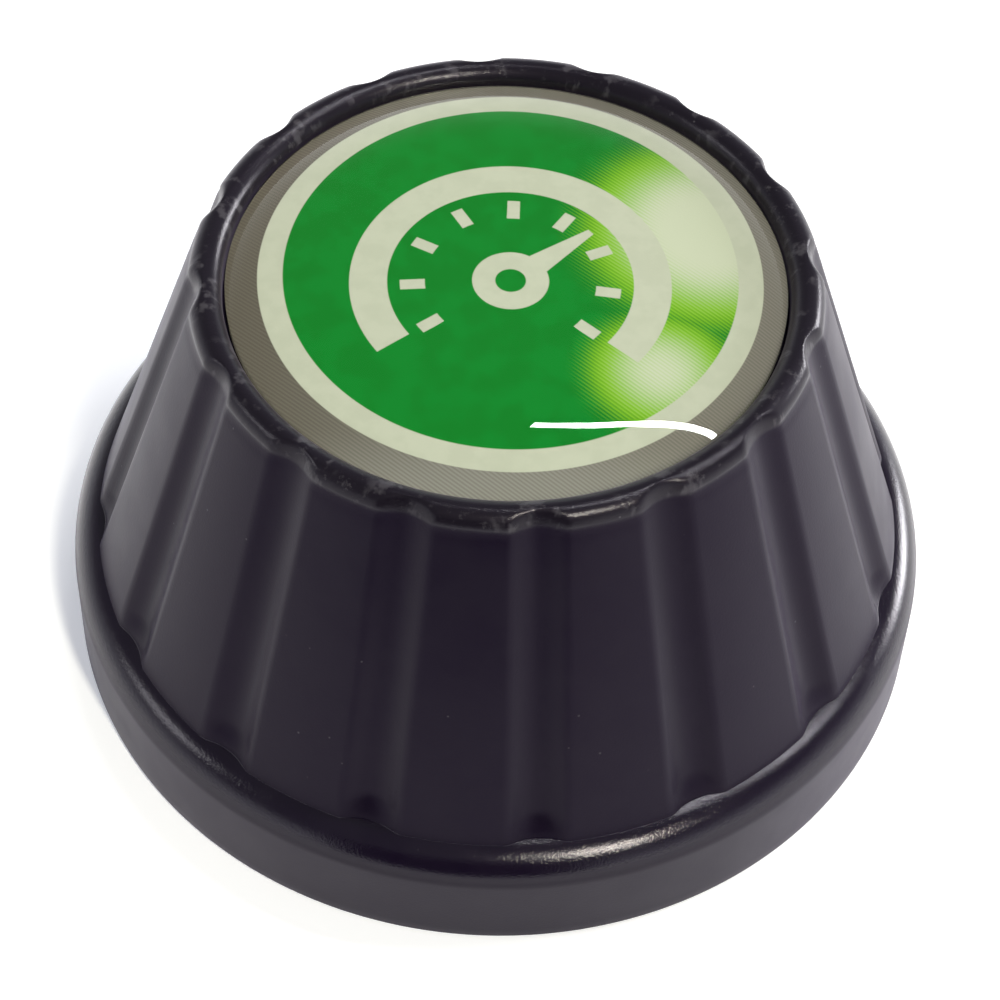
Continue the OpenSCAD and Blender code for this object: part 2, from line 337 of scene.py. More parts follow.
def housing_profile():
    """The section from the label recess out over the rim, down to the base and up inside."""
    lean = math.degrees(LEAN)
    crease = math.degrees(math.atan2(FOOT_Z - LIP_C[1], FOOT_R - LIP_C[0]))
    corner, bevel, edge = 0.1 * MM, 0.15 * MM, 0.02 * MM
    wall_in = cone_r(FOOT_Z) - WALL
    ceiling_r = cone_r(CEILING_Z) - WALL

    points = [(0, RECESS_Z)]
    points += line((RECESS_R * 0.5, RECESS_Z), (RECESS_R - corner, RECESS_Z), 3)
    points += arc((RECESS_R - corner, RECESS_Z + corner), corner, -90, 0, 3)
    points += line((RECESS_R, RECESS_Z + 2 * corner), (RECESS_R, BEAD_Z - 0.05 * MM), 4)
    points += arc((BEAD_R, BEAD_Z), BEAD_ROUND - BEAD_STEP, 178, lean - 16, 30)
    points += line(CONE_TOP, (FOOT_R, FOOT_Z), CONE_ROWS)
    points += [(FOOT_R, FOOT_Z)] * TUCK_ROWS
    points += arc(LIP_C, LIP_ROUND, crease - 1, 0, 20)
    points += line((LIP_R, LIP_C[1]), (BASE_R, BASE_ROUND), 8)[1:]
    points += arc((BASE_R - BASE_ROUND, BASE_ROUND), BASE_ROUND, 0, -90, 5)
    points += line((BASE_R - BASE_ROUND, 0), (BORE_R + bevel, 0), 4)[1:]
    points += arc((BORE_R + bevel, bevel), bevel, -90, -180, 3)
    for z in (LEDGE_Z, LEDGE_TOP_Z, STOP_TOP_Z):
        points += [(BORE_R, z - edge), (BORE_R, z + edge)]
    points += [(BORE_R, FOOT_Z - 0.5 * MM)]
    points += line((wall_in, FOOT_Z), (ceiling_r, CEILING_Z), 6)
    points += [(ceiling_r, CEILING_Z), (RECESS_R * 0.5, CEILING_Z), (0, CEILING_Z)]
    return points


def soft_max(value, soft):
    """The larger of value and 0, rounded over where they meet."""
    near = np.maximum(soft - np.abs(value), 0)
    return np.maximum(value, 0) + near ** 2 / (4 * soft)


def flute_depth(points, push, angles):
    """How far along -push the flute's floor lies from each point, softened at the flute's edges."""
    cutter_r = ((FLUTE_W / 2) ** 2 + FLUTE_FOOT_DEPTH ** 2) / (2 * FLUTE_FOOT_DEPTH)
    top_z = BEAD_Z + 2 * BEAD_ROUND
    low = np.array([FOOT_R + cutter_r - FLUTE_FOOT_DEPTH, 0, FOOT_Z])
    high = np.array([cone_r(top_z) + cutter_r - FLUTE_RIM_DEPTH, 0, top_z])
    along = (high - low) / np.linalg.norm(high - low)
    pitch = 2 * math.pi / FLUTES
    turn = (angles - FLUTE_PHASE + pitch / 2) % pitch - pitch / 2

    radius, height = points[..., 0], points[..., 1]
    place = np.stack([radius * np.cos(turn), radius * np.sin(turn), height], axis=-1)
    push = np.stack([push[..., 0] * np.cos(turn), push[..., 0] * np.sin(turn), push[..., 1]], axis=-1)
    gap = place - low
    gap = gap - (gap @ along)[..., None] * along
    push = push - (push @ along)[..., None] * along
    reach = (gap * push).sum(-1)
    length = (push ** 2).sum(-1)
    root = reach ** 2 - length * ((gap ** 2).sum(-1) - cutter_r ** 2)
    depth = np.where(root > 0, (reach + np.sqrt(np.maximum(root, 0))) / length, -1)
    return soft_max(depth, FLUTE_SOFT)


def shape_housing(points, normals, angles):
    """Cuts the flutes into the cone and over the rim, and adds the bayonet's ledges and stops."""
    radius, height = points[..., 0], points[..., 1]
    moved = points.copy()

    # the cone keeps its heights, so that its foot stays on the lip
    level = np.zeros_like(normals)
    level[..., 0] = 1
    foot = np.full_like(points[:1], (FOOT_R, FOOT_Z))
    foot_depth = flute_depth(foot, level[:1], angles)[0] * RUN_OUT
    crease_r = FOOT_R - foot_depth
    crease_z = lip_z(crease_r)
    row_r, row_z = radius[:, 0], height[:, 0]
    on_cone = np.where((row_z >= FOOT_Z) & (row_z <= CONE_TOP[1]) & (row_r > BEAD_R))[0]
    cone_rows = on_cone[:CONE_ROWS]
    tuck_rows = on_cone[CONE_ROWS:CONE_ROWS + TUCK_ROWS]
    up = ((height[cone_rows] - FOOT_Z) / (CONE_TOP[1] - FOOT_Z)) ** ROWS_LOWER
    z = crease_z + up * (CONE_TOP[1] - crease_z)
    cone = np.stack([cone_r(z), z], axis=-1)
    rise = np.clip((z - crease_z) / RUN_OUT_H, 0, 1)
    run_out = RUN_OUT + (1 - RUN_OUT) * rise * rise * (3 - 2 * rise)
    moved[cone_rows, :, 0] = cone[..., 0] - flute_depth(cone, level[cone_rows], angles) * run_out
    moved[cone_rows, :, 1] = z
    for i, row in enumerate(tuck_rows):
        moved[row, :, 0] = FOOT_R - foot_depth * (1 - i / TUCK_ROWS)
        moved[row, :, 1] = lip_z(moved[row, :, 0])

    # the rim bead is cut square to its surface
    bead = (height > CONE_TOP[1]) & (radius > RECESS_R + 0.15 * MM) & (normals[..., 0] > 0.05)
    depth = np.where(bead, flute_depth(points, normals, angles), 0)
    moved -= depth[..., None] * normals

    # the ledges and the stops stand in from the bore
    ledge, stop = np.zeros(len(angles), bool), np.zeros(len(angles), bool)
    for i in range(LUGS):
        middle = i * 360 / LUGS
        ledge |= away_from(angles, middle) < LEDGE_SPAN / 2
        stop |= away_from(angles, middle + STOP_TURN) < STOP_SPAN / 2
        stop |= away_from(angles, middle - UNLOCK_TURN - STOP_TURN) < STOP_SPAN / 2
    bore = (np.abs(radius - BORE_R) < TINY) & (normals[..., 0] < 0)
    low_part = bore & (height > LEDGE_Z) & (height < LEDGE_TOP_Z) & (ledge | stop)[None, :]
    high_part = bore & (height > LEDGE_TOP_Z) & (height < STOP_TOP_Z) & stop[None, :]
    moved[..., 0] = np.where(low_part | high_part, LEDGE_R, moved[..., 0])
    return moved


def make_housing():
    """The black shell, as one mesh inside and out."""
    piece = revolve("housing_shell", housing_profile(), FLUTES * COLUMNS_PER_FLUTE, shape_housing)
    swap(piece, "housing", "housing_unit")


def dome_profile():
    """A drop of resin: nearly flat in the middle, and rolled over at its edge."""
    low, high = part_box("label_dome")
    rim = high.x
    edge_z = low.z + DOME_EDGE
    points = [(0, high.z)]
    for i in range(1, DOME_ROWS + 1):
        t = i / DOME_ROWS
        points.append((rim * t, edge_z + (high.z - edge_z) * (1 - t ** DOME_FLATNESS)))
    corner, under_z = 0.04 * MM, low.z - BOND
    points += [(rim, under_z + corner), (rim - corner, under_z), (rim * 0.6, under_z), (0, under_z)]
    return points


def make_dome():
    """The resin drop over the label."""
    piece = revolve("label_dome_resin", dome_profile(), columns=192)
    swap(piece, "label_dome", "housing_unit")


# ---------------------------------------------------------------- the cap, its insert and the small parts


def shape_cap(points, normals, angles):
    """Draws the bayonet lugs out of the neck and presses the wrench notches into the face."""
    radius, height = points[..., 0], points[..., 1]
    lug, notch = np.zeros(len(angles), bool), np.zeros(len(angles), bool)
    for i in range(LUGS):
        lug |= away_from(angles, i * 360 / LUGS) < LUG_SPAN / 2
    for middle in (0, 180):
        notch |= away_from(angles, middle) < NOTCH_SPAN / 2
    out = (radius > NECK_R - 0.2 * MM) & (height > LUG_LOW_Z) & lug[None, :]
    pressed = (height < CAP_FACE_Z + 0.05 * MM) & (radius > NOTCH_IN_R) & (radius < NOTCH_OUT_R)
    moved = points.copy()
    moved[..., 0] = np.where(out, radius + LUG_R - NECK_R, radius)
    moved[..., 1] = np.where(pressed & notch[None, :], height + NOTCH_DEPTH, height)
    return moved


def make_base_cap():
    """The cap: a face with an O-ring groove, a neck with lugs, a boss and three board posts."""
    step = 0.02 * MM
    outline = rounded([
        (INSERT_R, BOSS_TOP_Z, step), (BOSS_R, BOSS_TOP_Z), (BOSS_R, CAP_FLOOR_Z, 0.4 * MM),
        (NECK_IN_R, CAP_FLOOR_Z, 0.4 * MM), (NECK_IN_R, STOP_TOP_Z), (NECK_R, STOP_TOP_Z),
        (NECK_R, LUG_LOW_Z, step), (NECK_R, CAP_TOP_Z, 0.2 * MM), (CAP_R, CAP_TOP_Z),
        (CAP_R, GROOVE_HIGH_Z, 0.08 * MM), (GROOVE_R, GROOVE_HIGH_Z, 0.2 * MM),
        (GROOVE_R, GROOVE_LOW_Z, 0.2 * MM), (CAP_R, GROOVE_LOW_Z, 0.08 * MM),
        (CAP_R, CAP_FACE_Z, 0.2 * MM), (NOTCH_OUT_R, CAP_FACE_Z, step),
        (NOTCH_IN_R, CAP_FACE_Z, step), (INSERT_R, CAP_FACE_Z, step)], 0.15 * MM)
    piece = revolve("base_cap_shell", outline, CAP_COLUMNS, shape_cap, closed=True)
    foot_z = CAP_FLOOR_Z - 0.3 * MM
    post_outline = rounded([
        (PILOT_R, POST_TOP_Z, 0.1 * MM), (POST_R, POST_TOP_Z), (POST_R, foot_z, step),
        (EDGE, foot_z, step), (EDGE, PILOT_Z - 0.2 * MM, step), (PILOT_R, PILOT_Z, step)], 0.12 * MM)
    for turn in POST_TURNS:
        post = revolve("post", post_outline, columns=48, closed=True)
        post.location = on_ring(POST_RING_R, turn)
        combine(piece, post, "UNION")
    swap(piece, "base_cap", "base_unit")


def shape_thread(points, normals, angles):
    """Winds the valve thread into the insert's bore. The thread fades out at both ends."""
    radius, height = points[..., 0], points[..., 1]
    turns = (height - MOUTH_Z) / THREAD_PITCH - angles[None, :] / (2 * math.pi)
    wave = 1 - 2 * np.abs(2 * (turns % 1) - 1)
    ends = np.clip(np.minimum(height - MOUTH_Z, THREAD_TOP_Z - height) / (0.5 * THREAD_PITCH), 0, 1)
    threaded = (np.abs(radius - THREAD_R) < TINY) & (ends > 0)
    moved = points.copy()
    moved[..., 0] = np.where(threaded, radius + THREAD_DEPTH * ends * np.clip(wave * 1.4, -1, 1), radius)
    return moved


def make_valve_insert():
    """The brass insert: a threaded mouth, a relief above it, and holes for the pin and the air."""
    low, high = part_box("valve_insert")
    edge, step = 0.12 * MM, 0.02 * MM
    outline = rounded([
        (PIN_R, high.z, step), (INSERT_R, high.z, edge), (INSERT_R, low.z, step),
        (MOUTH_R, low.z, 0.06 * MM), (THREAD_R, MOUTH_Z, step)], edge)
    outline += line((THREAD_R, MOUTH_Z + step), (THREAD_R, THREAD_TOP_Z - step), THREAD_ROWS)[1:]
    outline += rounded([(THREAD_R, THREAD_TOP_Z, step), (RELIEF_R, THREAD_TOP_Z, step),
        (RELIEF_R, ROOF_Z, edge), (PIN_R, ROOF_Z, step)], step)
    piece = revolve("valve_insert_body", outline, 144, shape_thread, closed=True)
    for turn in GAS_TURNS:
        drill(piece, on_ring(GAS_RING_R, turn), GAS_R, high.z + step, ROOF_Z - step, columns=24)
    swap(piece, "valve_insert", "base_unit")


def make_ring(name, node, body, hole_r, edge):
    """A ring of a CAD node's size, with softened edges."""
    low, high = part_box(node)
    outline = rounded([(hole_r, high.z), (high.x, high.z), (high.x, low.z), (hole_r, low.z)], edge)
    swap(revolve(name, outline, columns=96, closed=True), node, body)


def make_disc(name, node, body, edge, columns=192):
    """A disc of a CAD node's size, with softened edges."""
    low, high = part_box(node)
    outline = [(0, high.z)] + arc((high.x - edge, high.z - edge), edge, 90, 0, 6)
    outline += arc((high.x - edge, low.z + edge), edge, 0, -90, 6) + [(0, low.z)]
    piece = revolve(name, outline, columns)
    swap(piece, node, body)
    return piece


def make_circuit_board():
    """A round board with a hole for each screw."""
    board = make_disc("circuit_board_disc", "circuit_board", "base_unit", 0.08 * MM)
    low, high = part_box("circuit_board")
    for turn in POST_TURNS:
        drill(board, on_ring(POST_RING_R, turn), SCREW_HOLE_R, high.z + EDGE, low.z - EDGE, columns=48)


def make_screw(place):
    """A pan-head screw with a cross recess, driven down through the board."""
    low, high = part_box("board_screws")
    head_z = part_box("circuit_board")[1].z
    outline = [(SCREW_HEAD_R * share, high.z - drop) for share, drop in SCREW_CROWN]
    outline += [(SCREW_HEAD_R, head_z), (SCREW_R, head_z), (SCREW_R, low.z + SCREW_TIP_H)]
    outline += [(SCREW_R * 0.4, low.z), (0, low.z)]
    screw = revolve("screw", outline, columns=48)

    # each stroke of the cross is a punch that narrows downwards
    floor_z, top_z = high.z - CROSS_DEPTH, high.z + EDGE
    faces = [(0, 1, 2, 3), (7, 6, 5, 4), (0, 4, 5, 1), (1, 5, 6, 2), (2, 6, 7, 3), (3, 7, 4, 0)]
    for size_x, size_y in ((CROSS_LONG, CROSS_WIDE), (CROSS_WIDE, CROSS_LONG)):
        corners = [(size_x, size_y), (-size_x, size_y), (-size_x, -size_y), (size_x, -size_y)]
        points = [(x * 0.5, y * 0.5, top_z) for x, y in corners]
        points += [(x * 0.4, y * 0.4, floor_z) for x, y in corners]
        combine(screw, finish_mesh("punch", points, faces), "DIFFERENCE")
    screw.data.transform(Matrix.Translation(place))
    return screw


def make_screws():
    """The three board screws, as one piece."""
    screws = make_screw(on_ring(POST_RING_R, POST_TURNS[0]))
    for turn in POST_TURNS[1:]:
        combine(screws, make_screw(on_ring(POST_RING_R, turn)), "UNION")
    screws.name = "board_screw_set"
    swap(screws, "board_screws", "base_unit")


def make_cell_can():
    """The coin cell's can: a cup that opens downwards, rounded at its shoulder."""
    low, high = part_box("battery_can")
    top_in = high.z - CELL_SHEET
    outline = [(0, high.z)]
    outline += arc((high.x - CELL_SHOULDER, high.z - CELL_SHOULDER), CELL_SHOULDER, 90, 0, 8)
    outline += [(high.x, low.z + EDGE), (high.x - EDGE, low.z)]
    outline += [(CELL_RIM_R + EDGE, low.z), (CELL_RIM_R, low.z + EDGE)]
    outline += [(CELL_RIM_R, top_in), (0, top_in)]
    swap(revolve("battery_can_cup", outline, columns=144), "battery_can", "base_unit")


def make_depressor():
    """The pin that opens the valve core, rounded at its tip."""
    low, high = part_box("core_depressor")
    bevel, tip = 0.01 * MM, 0.3 * MM
    outline = [(0, high.z), (PIN_R - bevel, high.z), (PIN_R, high.z - bevel)]
    outline += arc((PIN_R - tip, low.z + tip), tip, 0, -90, 8) + [(0, low.z)]
    swap(revolve("core_depressor_pin", outline, columns=64), "core_depressor", "base_unit")


def make_o_ring():
    """A round cord in the cap's groove."""
    low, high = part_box("base_o_ring")
    cord_r = (high.z - low.z) / 2
    section = arc((high.x - cord_r, low.z + cord_r), cord_r, 180, -180, 32)[:-1]
    piece = revolve("base_o_ring_cord", section, columns=192, closed=True)
    swap(piece, "base_o_ring", "base_unit")


# ---------------------------------------------------------------- material helpers


class Shader:
    """A material's node tree, with short calls for the nodes that the finishes share."""

    def __init__(self, name):
        self.material = bpy.data.materials.new(name)
        self.material.use_nodes = True
        self.tree = self.material.node_tree
        self.tree.nodes.clear()
        self.output = self.tree.nodes.new("ShaderNodeOutputMaterial")
        self.principled = self.tree.nodes.new("ShaderNodeBsdfPrincipled")
        self.link(self.principled.outputs[0], self.output.inputs[0])
        self.where = self.tree.nodes.new("ShaderNodeTexCoord").outputs["Object"]

    def link(self, source, target):
        self.tree.links.new(source, target)

    def feed(self, socket, value):
        """Links a socket to this one, or sets this one's own value."""
        if isinstance(value, bpy.types.NodeSocket):
            self.link(value, socket)
        else:
            socket.default_value = value

    def math(self, operation, a, b=0.0, c=0.0):
        """One Math node. The three values may be sockets or numbers."""
        node = self.tree.nodes.new("ShaderNodeMath")
        node.operation = operation
        for socket, value in zip(node.inputs, (a, b, c)):
            self.feed(socket, value)
        return node.outputs[0]

    def plus(self, first, *others):
        for other in others:
            first = self.math("ADD", first, other)
        return first

    def minus(self, a, b):
        return self.math("SUBTRACT", a, b)

    def absolute(self, value):
        return self.math("ABSOLUTE", value)

    def larger(self, a, b):
        return self.math("MAXIMUM", a, b)

    def times(self, first, *others):
        for other in others:
            first = self.math("MULTIPLY", first, other)
        return first

    def length(self, x, y):
        """Distance of the point (x, y) from (0, 0)."""
        return self.math("SQRT", self.plus(self.times(x, x), self.times(y, y)))

    def ramp(self, value, low, high, to_low=0.0, to_high=1.0, smooth=True):
        """Goes from to_low to to_high as value goes from low to high, and is level beyond them."""
        node = self.tree.nodes.new("ShaderNodeMapRange")
        node.interpolation_type = "SMOOTHSTEP" if smooth else "LINEAR"
        for socket, v in zip(node.inputs, (value, low, high, to_low, to_high)):
            self.feed(socket, v)
        return node.outputs[0]

    def mix(self, factor, a, b):
        """Colour a where factor is 0, and b where it is 1."""
        node = self.tree.nodes.new("ShaderNodeMix")
        node.data_type = "RGBA"
        self.feed(node.inputs["Factor"], factor)
        self.feed(node.inputs["A"], (*a, 1) if isinstance(a, tuple) else a)
        self.feed(node.inputs["B"], (*b, 1) if isinstance(b, tuple) else b)
        return node.outputs["Result"]

    def noise(self, size, detail=3.0, stretch=None, rough=0.5):
        """Noise with features of about that size, in metres."""
        node = self.tree.nodes.new("ShaderNodeTexNoise")
        node.inputs["Scale"].default_value = 1 / size
        node.inputs["Detail"].default_value = detail
        node.inputs["Roughness"].default_value = rough
        where = self.where
        if stretch:
            mapping = self.tree.nodes.new("ShaderNodeMapping")
            mapping.inputs["Scale"].default_value = stretch
            self.link(where, mapping.inputs["Vector"])
            where = mapping.outputs[0]
        self.link(where, node.inputs["Vector"])
        return node.outputs[0]

    def cells(self, size, feature="F1"):
        """Distances in a pattern of cells of about that size, in metres."""
        node = self.tree.nodes.new("ShaderNodeTexVoronoi")
        node.feature = feature
        node.inputs["Scale"].default_value = 1 / size
        self.link(self.where, node.inputs["Vector"])
        return node.outputs["Distance"]

    def polar(self):
        """Distance from the Z axis, angle about it and height."""
        split = self.tree.nodes.new("ShaderNodeSeparateXYZ")
        self.link(self.where, split.inputs[0])
        x, y, z = split.outputs
        return self.length(x, y), self.math("ARCTAN2", y, x), z

    def bump(self, height, distance, strength=1.0):
        """A normal that follows relief of this height, times distance in metres."""
        node = self.tree.nodes.new("ShaderNodeBump")
        node.inputs["Strength"].default_value = strength
        node.inputs["Distance"].default_value = distance
        self.link(height, node.inputs["Height"])
        return node.outputs[0]

    def let_light_through(self):
        """Lamps and soft light reach what lies under this clear material."""
        path = self.tree.nodes.new("ShaderNodeLightPath")
        clear = self.tree.nodes.new("ShaderNodeBsdfTransparent")
        blend = self.tree.nodes.new("ShaderNodeMixShader")
        soft = self.larger(path.outputs["Is Shadow Ray"], path.outputs["Is Diffuse Ray"])
        self.link(soft, blend.inputs[0])
        self.link(self.principled.outputs[0], blend.inputs[1])
        self.link(clear.outputs[0], blend.inputs[2])
        self.link(blend.outputs[0], self.output.inputs[0])

    def set(self, **values):
        """Feeds the Principled shader; a name's underscores stand for spaces."""
        for name, value in values.items():
            socket = self.principled.inputs[name.replace("_", " ")]
            if isinstance(value, tuple) and len(value) == 3:
                value = (*value, 1)
            self.feed(socket, value)
        return self.material


def housing_zones(s, radius, height):
    """Where the rim bead is, where the flange wall is, and where the plastic is satin."""
    slope = math.tan(LEAN)
    off_cone = s.minus(radius, s.math("MULTIPLY_ADD", height, -slope, FOOT_R + FOOT_Z * slope))
    lip_side = s.minus(radius, LIP_C[0])
    lip_rise = s.math("SQRT", s.minus(LIP_ROUND ** 2, s.times(lip_side, lip_side)))
    above_lip = s.minus(height, s.plus(lip_rise, LIP_C[1]))
    clear_of_lip = s.ramp(above_lip, 0.005 * MM, 0.03 * MM)
    on_cone = s.times(clear_of_lip, s.ramp(off_cone, 0.02 * MM, 0.05 * MM, 1.0, 0.0))
    on_bead = s.ramp(height, BEAD_Z - 0.10 * MM, BEAD_Z + 0.20 * MM)
    on_wall = s.ramp(height, WALL_TOP_Z - 0.65 * MM, WALL_TOP_Z, 1.0, 0.0)
    return on_bead, on_wall, s.larger(s.minus(on_cone, on_bead), on_wall)


def bead_wear_and_glints(s, turn, on_bead):
    """Scuffs on the rim bead, and where the flutes cross it, dented nicks with a painted highlight: pale
    strokes that stand in for light caught on the notches' edges.
    """
    scratched = s.ramp(s.noise(0.55 * MM, detail=5.0, rough=0.7), 0.56, 0.68)
    worn = s.ramp(s.noise(3.0 * MM), 0.45, 0.6)
    pitch = 2 * math.pi / FLUTES
    flute_turn = s.math("WRAP", s.minus(turn, FLUTE_PHASE), pitch / 2, -pitch / 2)
    near_flute = s.ramp(s.absolute(flute_turn), 0.25 * pitch, 0.42 * pitch, 1.0, 0.0)
    # by each flute the nicks dent the relief, and their pale colour is a painted highlight on the notches'
    # edges
    nick_glint = s.ramp(s.noise(0.65 * MM, detail=3.0, stretch=(1.0, 1.0, 0.4)), 0.54, 0.68)
    return s.times(scratched, worn, on_bead), s.times(nick_glint, near_flute, on_bead)


def housing_plastic():
    """Black moulded plastic: satin on the cone and the flange wall, glossy on the lip and the bead."""
    s = Shader("housing_plastic")
    radius, turn, height = s.polar()
    on_bead, on_wall, satin = housing_zones(s, radius, height)
    gloss = s.minus(1.0, satin)
    scuff, nick_glint = bead_wear_and_glints(s, turn, on_bead)
    grain = s.noise(0.10 * MM, detail=2.0)
    cloud = s.noise(2.5 * MM, detail=3.0)
    flow = s.noise(0.5 * MM, detail=2.0, stretch=(1.0, 1.0, 0.12))
    pits = s.noise(0.16 * MM, detail=4.0, rough=0.7)
    dust = s.ramp(s.cells(0.9 * MM), 0.035, 0.07, 1.0, 0.0)
    dust = s.times(dust, s.ramp(s.noise(1.7 * MM), 0.52, 0.60))

    tone = s.mix(s.ramp(cloud, 0.35, 0.65), (0.0034, 0.0010, 0.0074), (0.0048, 0.0024, 0.0088))
    tone = s.mix(on_wall, tone, (0.0095, 0.0075, 0.0125))
    tone = s.mix(on_bead, tone, (0.0060, 0.0045, 0.0080))
    # painted highlight: pale strokes where the flutes cross the bead
    tone = s.mix(nick_glint, tone, (0.042, 0.039, 0.046))
    tone = s.mix(scuff, tone, (0.045, 0.042, 0.048))
    tone = s.mix(s.times(dust, 0.20), tone, (0.24, 0.23, 0.25))

    rough = s.ramp(satin, 0.0, 1.0, 0.24, 0.36, smooth=False)
    rough = s.plus(rough, s.times(on_wall, 0.06), s.times(on_bead, 0.10))
    rough = s.plus(rough, s.ramp(cloud, 0.3, 0.7, -0.02, 0.03))
    rough = s.plus(rough, s.times(scuff, 0.22), s.times(dust, 0.2))
    relief = s.plus(s.times(grain, satin), s.times(flow, 0.35), s.times(pits, gloss, 1.3))
    relief = s.minus(relief, s.times(nick_glint, 2.0))
    s.set(Base_Color=tone, Roughness=rough, Normal=s.bump(relief, 0.006 * MM, 0.6))

    # a thin clear coat gives the lip and the bead their gloss, with a fine orange peel
    polish = s.times(gloss, s.math("MULTIPLY_ADD", on_bead, -0.35, 0.60))
    peel = s.plus(s.times(flow, 0.5), s.times(pits, 1.2), s.times(grain, 1.6))
    s.set(Coat_Weight=polish, Coat_Roughness=0.08, Coat_IOR=1.5, Coat_Normal=s.bump(peel, 0.008 * MM))
    s.set(Sheen_Weight=0.12, Sheen_Roughness=0.40, Sheen_Tint=(0.80, 0.70, 1.0))
    return s.set(IOR=1.5, Specular_IOR_Level=0.14, Specular_Tint=(0.86, 0.76, 1.0))


def inside(s, distance, edge=0.0):
    """1 where distance is below edge, with the soft border of printed ink."""
    return s.ramp(distance, edge - INK_SOFT, edge + INK_SOFT, 1.0, 0.0)


def dial_print(s, x, y):
    """A generic pressure dial: 1 on its arc, ticks, needle and hub."""
    arc_r, arc_wide, arc_half = 5.70 * MM, 1.50 * MM, math.radians(128)
    tick_r, tick_wide, tick_long, tick_pitch = 3.95 * MM, 0.52 * MM, 1.00 * MM, math.radians(32)
    needle_turn, needle_tail, needle_tip = math.radians(42), 1.2 * MM, 4.3 * MM
    hub_r, hub_hole_r, hub_y = 1.55 * MM, 0.62 * MM, -0.70 * MM
    up = s.minus(y, hub_y)
    reach = s.length(x, up)
    swing = s.absolute(s.math("ARCTAN2", x, up))

    off_arc = s.minus(s.absolute(s.minus(reach, arc_r)), arc_wide / 2)
    past_end = s.times(s.minus(swing, arc_half), arc_r)
    mark = s.times(inside(s, off_arc), inside(s, past_end))

    tick_turn = s.math("WRAP", swing, tick_pitch / 2, -tick_pitch / 2)
    tick_side = s.absolute(s.times(s.math("SINE", tick_turn), reach))
    tick_end = s.absolute(s.minus(reach, tick_r))
    ticks = s.times(inside(s, tick_side, tick_wide / 2), inside(s, tick_end, tick_long / 2))
    mark = s.larger(mark, s.times(ticks, inside(s, swing, arc_half + tick_pitch / 8)))

    c, d = math.cos(needle_turn), math.sin(needle_turn)
    along = s.plus(s.times(x, c), s.times(up, d))
    across = s.absolute(s.minus(s.times(x, d), s.times(up, c)))
    taper = s.ramp(along, -1.6 * MM, needle_tip, 0.95 * MM, 0.16 * MM, smooth=False)
    stretch = s.times(inside(s, s.times(along, -1), needle_tail), inside(s, along, needle_tip))
    needle = s.times(inside(s, s.minus(across, taper)), stretch)
    mark = s.larger(mark, s.larger(needle, inside(s, reach, hub_r)))
    return s.times(mark, s.minus(1.0, inside(s, reach, hub_hole_r)))


def green_print(s, x, y, lines):
    """Green that fades through lime to cream in two soft patches on the right."""

    def patch(at_x, at_y, reach):
        return s.ramp(s.length(s.minus(x, at_x), s.minus(y, at_y)), 0.0, reach, 1.0, 0.0)

    fade = s.larger(patch(8.0 * MM, 2.6 * MM, 7.6 * MM), s.times(patch(6.0 * MM, -5.0 * MM, 4.6 * MM), 0.75))
    fade = s.minus(fade, s.times(lines, 0.13))
    green = s.mix(s.ramp(s.noise(1.2 * MM), 0.4, 0.6), (0.001, 0.165, 0.012), (0.001, 0.185, 0.016))
    green = s.mix(s.ramp(fade, 0.04, 0.34), green, (0.170, 0.400, 0.012))
    return s.mix(s.ramp(fade, 0.26, 0.78), green, (0.480, 0.525, 0.385))


def silver_foil(s, x, y, lines):
    """The bare foil of the border, with fine lines and a painted reflection: its colour is painted brighter
    at the front and on the right, where light falls on it.
    """
    # painted reflection: the foil's colour grows brighter towards the front and towards the right
    painted_shine = s.plus(s.ramp(x, -11 * MM, -2 * MM, 0.0, 0.45), s.ramp(y, -11 * MM, -8 * MM, 0.45, 0.0))
    dark_line = s.mix(painted_shine, (0.075, 0.066, 0.048), (0.150, 0.144, 0.120))
    pale_line = s.mix(painted_shine, (0.150, 0.136, 0.105), (0.330, 0.322, 0.285))
    return s.mix(s.math("MULTIPLY_ADD", lines, 0.40, 0.20), dark_line, pale_line)


def label_print():
    """Printed foil: silver border, cream ring and green disc, with a generic pressure dial."""
    s = Shader("label_print")
    split = s.tree.nodes.new("ShaderNodeSeparateXYZ")
    s.link(s.where, split.inputs[0])
    x = s.minus(split.outputs[0], PRINT_SHIFT_X)
    y = s.minus(split.outputs[1], PRINT_SHIFT_Y)
    radius = s.length(x, y)
    green_r, cream_r = 9.10 * MM, 10.12 * MM

    # the printer's line screen, from 0 to 1
    screen_turn, screen_pitch = math.radians(52), 0.15 * MM
    across_lines = s.plus(s.times(x, math.cos(screen_turn)), s.times(y, math.sin(screen_turn)))
    wave = s.math("SINE", s.times(across_lines, 2 * math.pi / screen_pitch))
    lines = s.math("MULTIPLY_ADD", wave, 0.5, 0.5)

    cream = s.mix(s.ramp(s.noise(0.8 * MM), 0.35, 0.65), (0.425, 0.455, 0.350), (0.450, 0.480, 0.372))
    disc = s.mix(dial_print(s, x, y), green_print(s, x, y, lines), cream)
    ink = s.mix(inside(s, radius, green_r), cream, disc)
    border = s.ramp(radius, cream_r - INK_SOFT, cream_r + INK_SOFT)
    s.set(Base_Color=s.mix(border, ink, silver_foil(s, x, y, lines)), Metallic=s.times(border, 0.35))
    s.set(Roughness=s.ramp(border, 0, 1, 0.5, 0.38), Normal=s.bump(lines, 0.002 * MM, 0.3))
    return s.set(Specular_IOR_Level=0.0)


def clear_resin():
    """Clear domed polyurethane with faint streaks in its gloss and a slow ripple."""
    s = Shader("clear_resin")
    hair = s.noise(1.4 * MM, detail=5.0, stretch=(0.25, 2.2, 1.0))
    wave = s.noise(5 * MM, detail=1.0)
    s.set(Base_Color=(0.985, 0.99, 0.975), Transmission_Weight=1.0, IOR=1.47)
    s.set(Roughness=s.ramp(hair, 0.3, 0.8, 0.0, 0.035))
    s.set(Normal=s.bump(wave, 0.02 * MM, 0.12))
    s.let_light_through()
    return s.material


